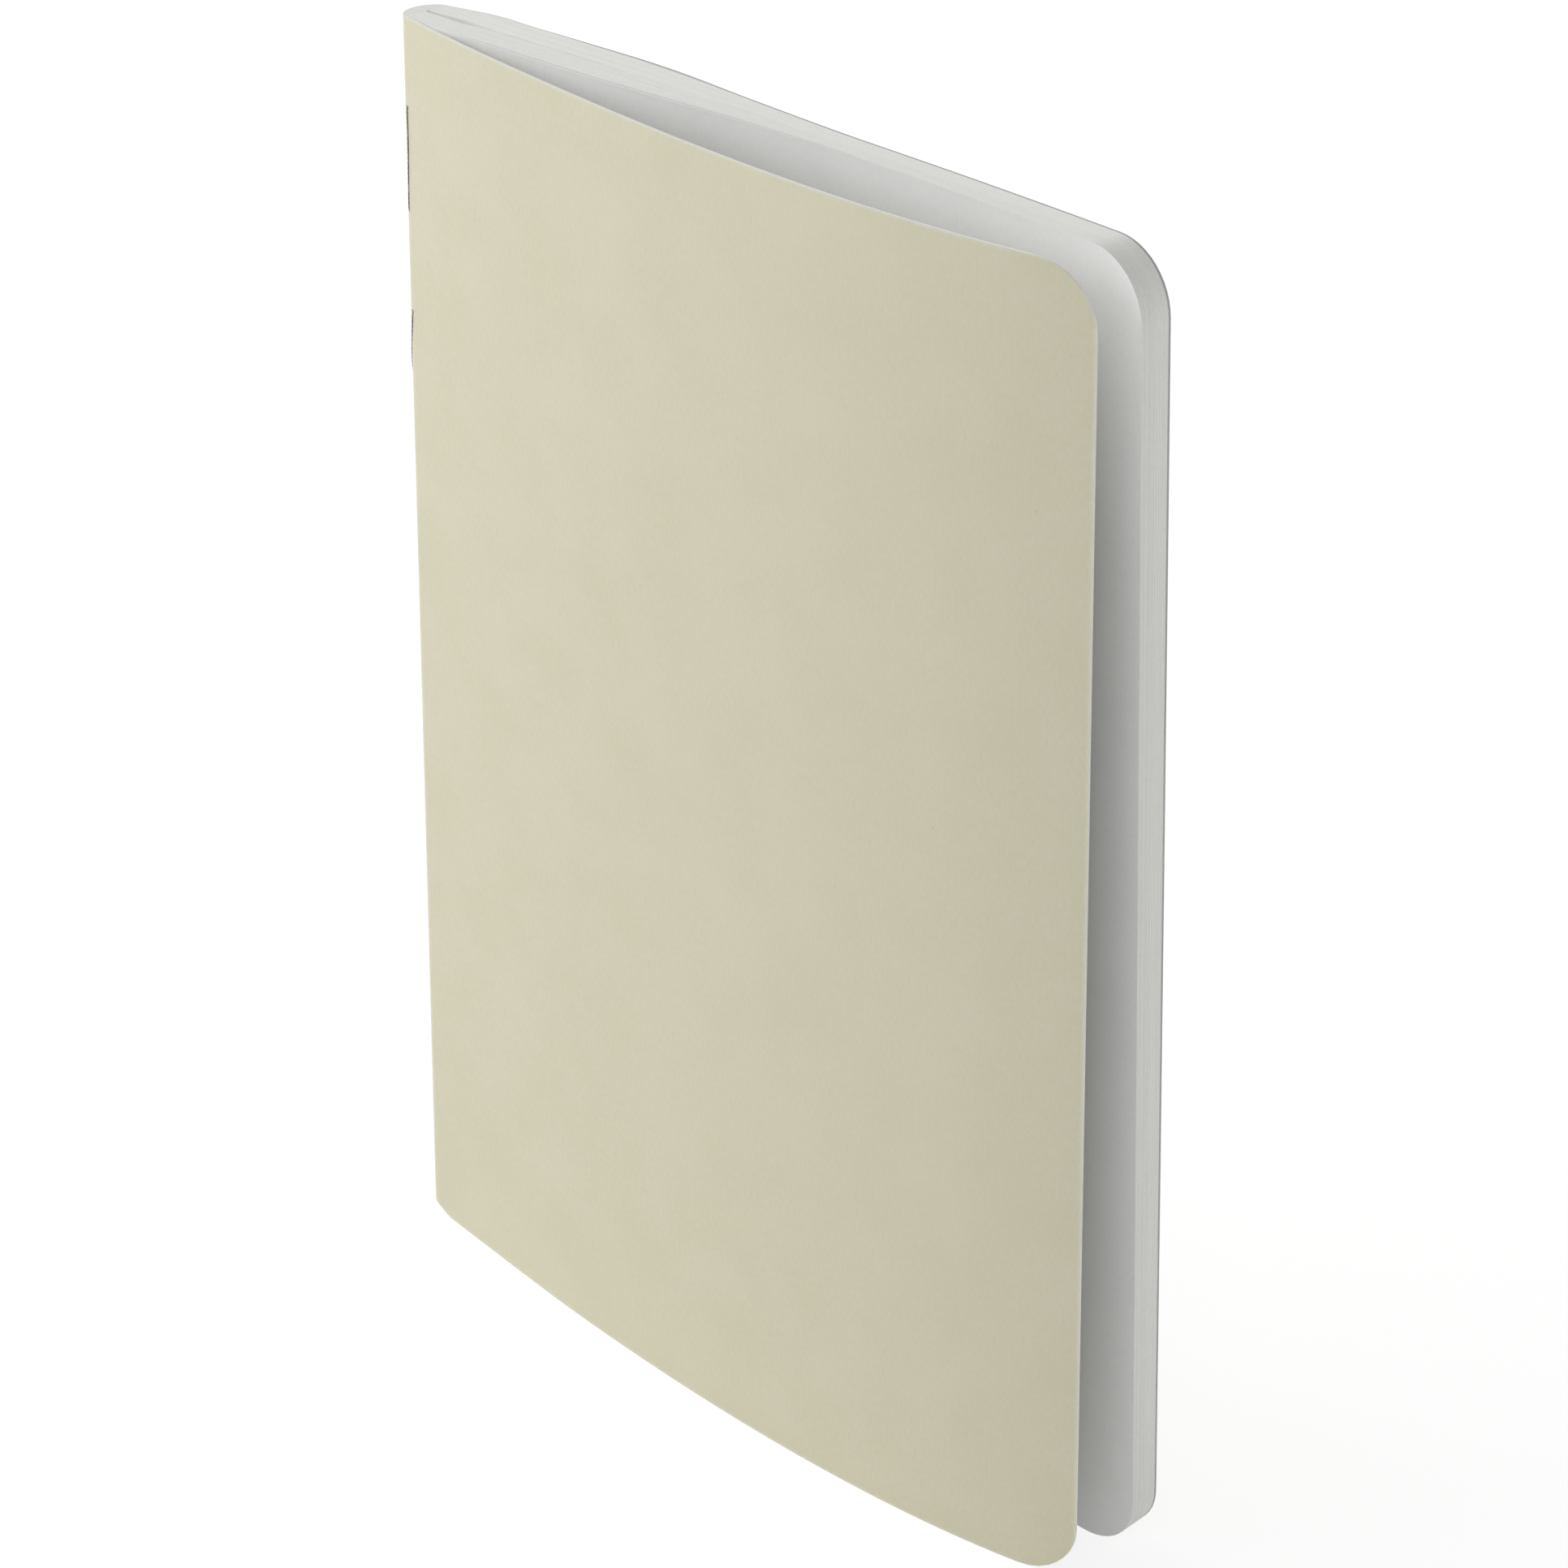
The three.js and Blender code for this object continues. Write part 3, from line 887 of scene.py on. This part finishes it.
# %% Stitches on the spine and in the fold
outer_half = card_half + CARD_THICKNESS / 2
outer_stitches = make("sewing_thread_outside", stitch_tree,
                      Depth=CARD_APEX + CARD_THICKNESS / 2, Half_width=outer_half,
                      Count=HOLE_COUNT / 2, Rise=-0.02, Sink=-1.2,
                      Turn_low=SEAM_LOW, Turn_high=SEAM_HIGH, Thread=thread_dye)
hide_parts("sewing_thread")
row_point(0.0, card_half)
row_point(0.0, -card_half)
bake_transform(outer_stitches)

inner_stitches = make("sewing_thread_inside", stitch_tree,
                      Depth=FIRST_APEX - LEAF_THICKNESS / 2,
                      Half_width=HOLLOW_NEAR - LEAF_THICKNESS / 2,
                      First_hole=FIRST_HOLE + HOLE_PITCH, Count=HOLE_COUNT / 2 - 1,
                      Rise=-0.22, Sink=1.2, Thread=thread_dye)
row_point(0.0, 20.0)
row_point(0.0, -20.0)
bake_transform(inner_stitches)
print("stitch faces:", len(outer_stitches.data.polygons))

# %% [markdown]
# ## Floor and light
#
# The floor is pale and plain. Seen by the camera it is white, and it still takes the
# soft shadow of the notebook, because part of its brightness is real light. To the
# notebook it is a lit white table, which lifts the feet of the leaves. The light
# comes from a wide pale sky and four large soft lamps. Most of it falls from the spine's
# side, so the cover is brighter at the spine and calmer towards the fore edge, and a
# little comes from the front and reaches the first leaf under the lifted cover.

# %% Floor
WHITE = (1.0, 1.0, 1.0, 1.0)
# Shade and glow of the floor: as it lights the notebook, and as the camera sees it.
TABLE_SHADE, TABLE_GLOW = 0.92, 0.14
SEEN_SHADE, SEEN_GLOW = 0.3, 0.8
FLOOR_HALF, FLOOR_DROP = 6.0, 0.0002


def seen_directly(tree):
    """1 for a ray that shows something to the camera, 0 for one that only lights."""
    ray = tree.nodes.new("ShaderNodeLightPath").outputs
    seen = Number(tree, ray["Is Camera Ray"]).at_least(ray["Is Glossy Ray"])
    return seen.at_least(ray["Is Transmission Ray"])


def glowing(tree, shade, strength):
    """A matt grey that also gives off white light of its own."""
    matt = add(tree, "ShaderNodeBsdfDiffuse", Color=(shade, shade, shade, 1.0))
    glow = add(tree, "ShaderNodeEmission", Color=WHITE, Strength=strength)
    both = tree.nodes.new("ShaderNodeAddShader")
    tree.links.new(matt.outputs[0], both.inputs[0])
    tree.links.new(glow.outputs[0], both.inputs[1])
    return both.outputs[0]


floor_material = bpy.data.materials.new("studio_floor")
floor_material.use_nodes = True
tree = floor_material.node_tree
tree.nodes.clear()
choose = tree.nodes.new("ShaderNodeMixShader")
feed(tree, seen_directly(tree), choose.inputs["Fac"])
tree.links.new(glowing(tree, TABLE_SHADE, TABLE_GLOW), choose.inputs[1])
tree.links.new(glowing(tree, SEEN_SHADE, SEEN_GLOW), choose.inputs[2])
surface = tree.nodes.new("ShaderNodeOutputMaterial")
tree.links.new(choose.outputs[0], surface.inputs["Surface"])

floor_mesh = bpy.data.meshes.new("studio_floor")
floor_corners = [(sx * FLOOR_HALF, sy * FLOOR_HALF, -FLOOR_DROP)
                 for sx, sy in ((-1, -1), (1, -1), (1, 1), (-1, 1))]
floor_mesh.from_pydata(floor_corners, [], [(0, 1, 2, 3)])
floor_mesh.materials.append(floor_material)
floor = bpy.data.objects.new("studio_floor", floor_mesh)
bpy.context.collection.objects.link(floor)

# %% Light
SKY_LEVEL = 0.4
AIM = Vector((0.0, 0.0, 0.1))
# Each lamp's name, its place and the side of its square in metres, its power in watts.
LAMPS = (("spine_side_lamp", (-1.5, -0.9, 1.3), 1.2, 11.6),
         ("left_wall_lamp", (-2.1, -0.25, 0.8), 1.0, 20.2),
         ("front_left_lamp", (-1.1, -1.5, 0.9), 1.0, 8.2),
         ("fore_edge_lamp", (1.2, -1.0, 1.5), 1.0, 5.0))
world = bpy.data.worlds.new("studio_sky")
bpy.context.scene.world = world
world.use_nodes = True
tree = world.node_tree
sky = tree.nodes["Background"]
feed(tree, seen_directly(tree) * (1.0 - SKY_LEVEL) + SKY_LEVEL, sky.inputs["Strength"])
sky.inputs["Color"].default_value = WHITE

for name, spot, size, power in LAMPS:
    data = bpy.data.lights.new(name, "AREA")
    data.shape, data.size, data.energy = "SQUARE", size, power
    lamp = bpy.data.objects.new(name, data)
    bpy.context.collection.objects.link(lamp)
    lamp.location = spot
    lamp.rotation_mode = "QUATERNION"
    lamp.rotation_quaternion = (AIM - Vector(spot)).to_track_quat("-Z", "Y")
bpy.context.scene.view_settings.view_transform = "Standard"
